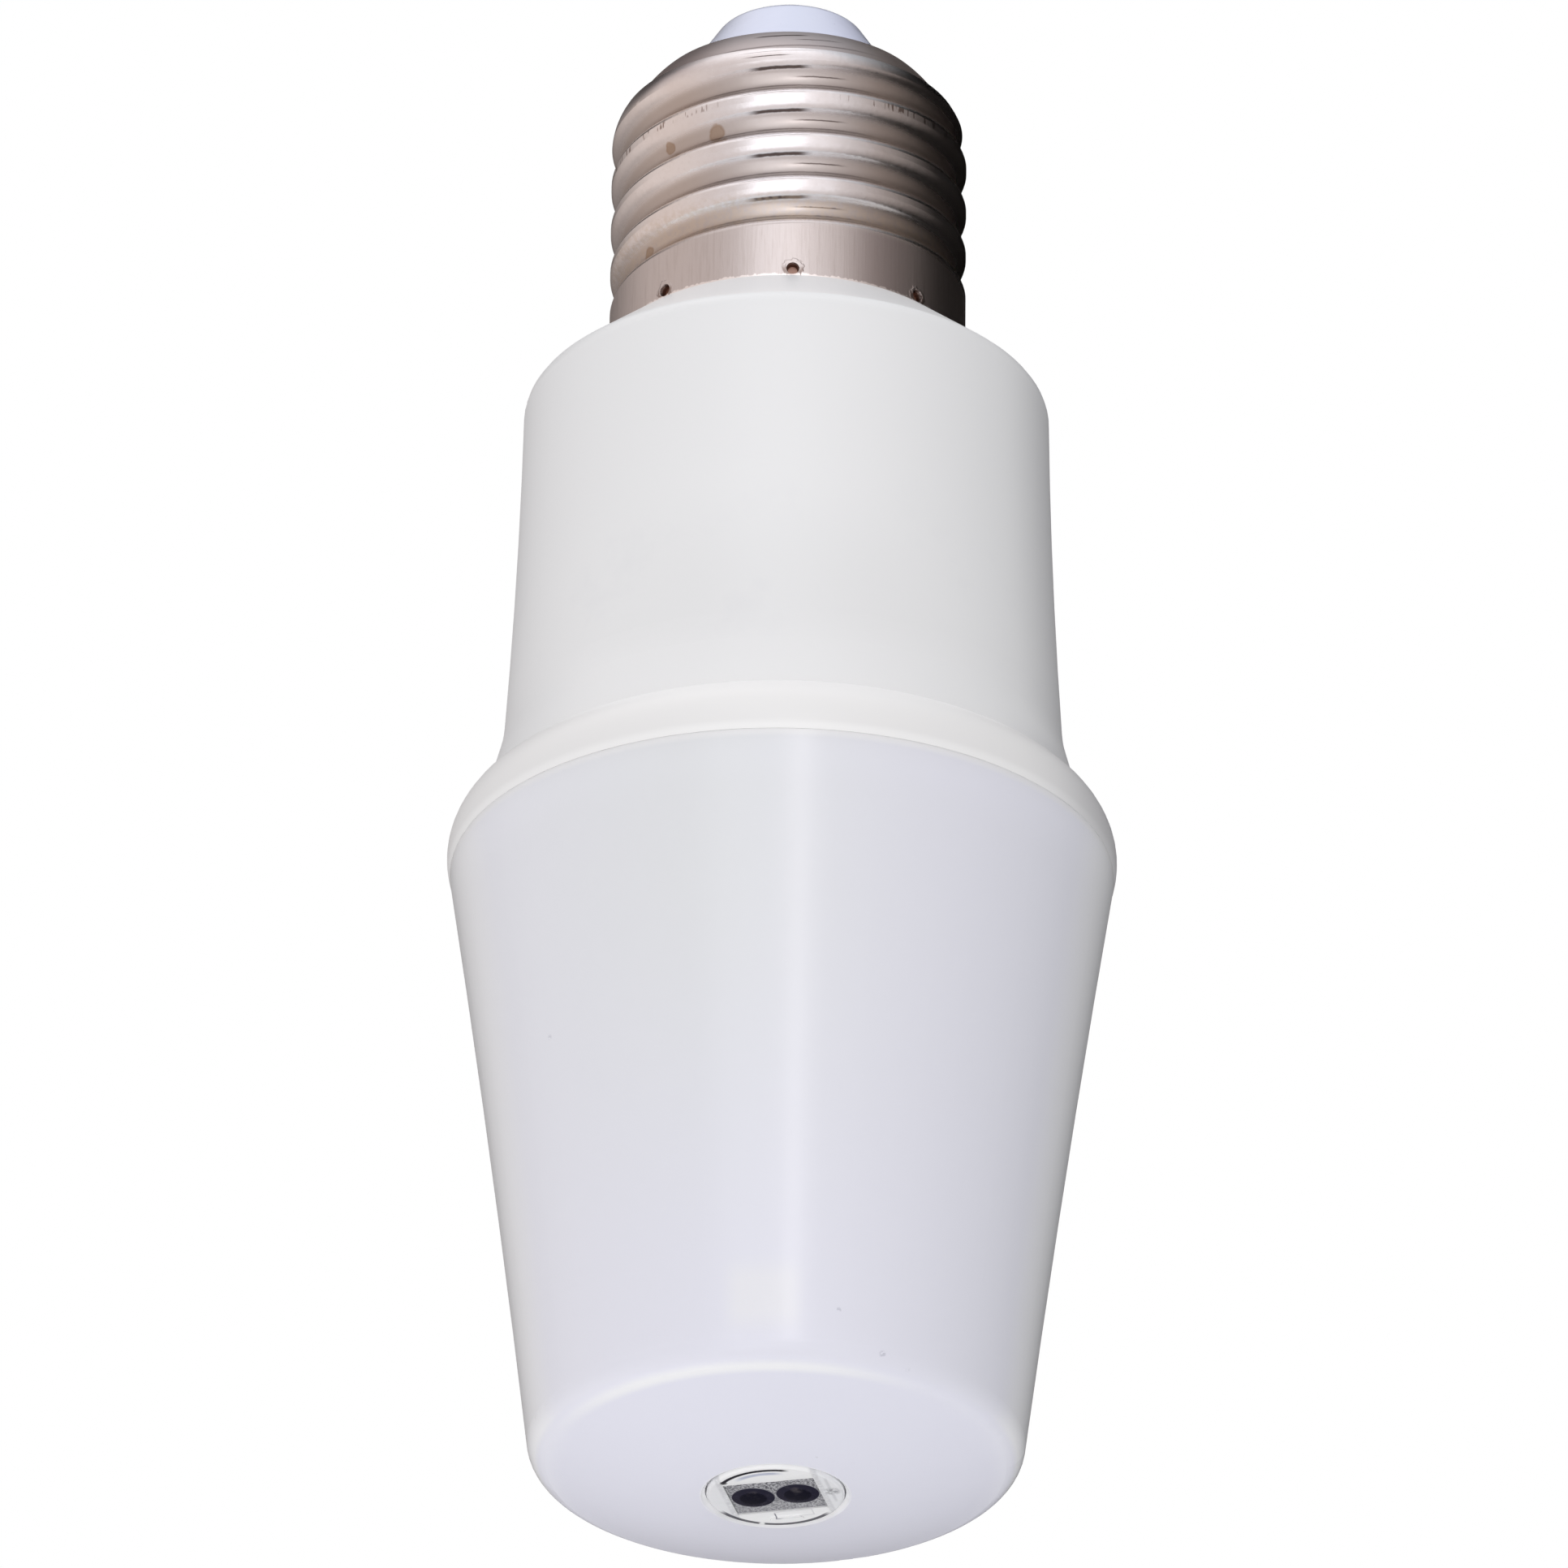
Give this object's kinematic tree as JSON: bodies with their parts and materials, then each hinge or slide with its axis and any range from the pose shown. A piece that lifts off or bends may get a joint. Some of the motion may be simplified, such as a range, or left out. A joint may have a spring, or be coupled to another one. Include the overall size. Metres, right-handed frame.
{
  "type": "motion sensor led bulb",
  "caption": "Screw-cap LED bulb with a white neck, a ridge, a tapered opal diffuser and a round infrared sensor window in its domed end.",
  "frame": {"origin": "on the bulb's axis at the lower rim of the screw cap, where it seats on the housing", "axes": "+Z along the axis towards the centre contact, with the lamp hanging towards -Z; the long sides of the sensor plate run near the X axis, and -Y is the side that the picture shows"},
  "size_m": [0.0486, 0.0486, 0.12],
  "materials": {
    "nickel_plate": "nickel-plated, rolled, with light handling marks",
    "insulator": "glossy bluish white",
    "contact_brass": "tinned",
    "housing_white": "moulded, semi-gloss",
    "diffuser_opal": "opal, semi-gloss",
    "window_clear_white": "translucent, glossy",
    "sensor_grey": "fine-textured",
    "sensor_black": "glossy, passes infrared",
    "board_green": "solder mask",
    "chip_black": "moulded",
    "holder_white": "moulded",
    "wire_red": "insulated",
    "wire_white": "insulated",
    "aluminium": "pressed",
    "led_board_white": "white mask on metal core",
    "led_phosphor": "phosphor",
    "screw_steel": "plated",
    "capacitor_sleeve": "shrunk sleeve",
    "ferrite": "sintered",
    "coil_tape": "taped winding",
    "film_brown": "dipped",
    "resistor_green": "lacquered"
  },
  "bodies": {
    "root": {"cap_shell": "nickel_plate", "cap_insulator": "insulator", "centre_contact": "contact_brass", "housing": "housing_white", "diffuser": "diffuser_opal", "sensor_window": "window_clear_white", "sensor_plate": "sensor_grey", "infrared_emitter": "sensor_black", "infrared_receiver": "sensor_black", "sensor_board": "board_green", "sensor_chip": "chip_black", "sensor_holder": "holder_white", "sensor_stalk": "holder_white", "sensor_wires": "wire_white", "heat_sink": "aluminium", "led_board": "led_board_white", "led_chips": "led_phosphor", "board_screws": "screw_steel", "led_leads": "wire_red", "driver_board": "board_green", "bulk_capacitor": "capacitor_sleeve", "output_capacitor": "capacitor_sleeve", "transformer_core": "ferrite", "transformer_coil": "coil_tape", "film_capacitor": "film_brown", "bridge_rectifier": "chip_black", "driver_chip": "chip_black", "fuse_resistor": "resistor_green", "live_lead": "wire_red", "neutral_lead": "wire_white"}
  },
  "joints": []
}
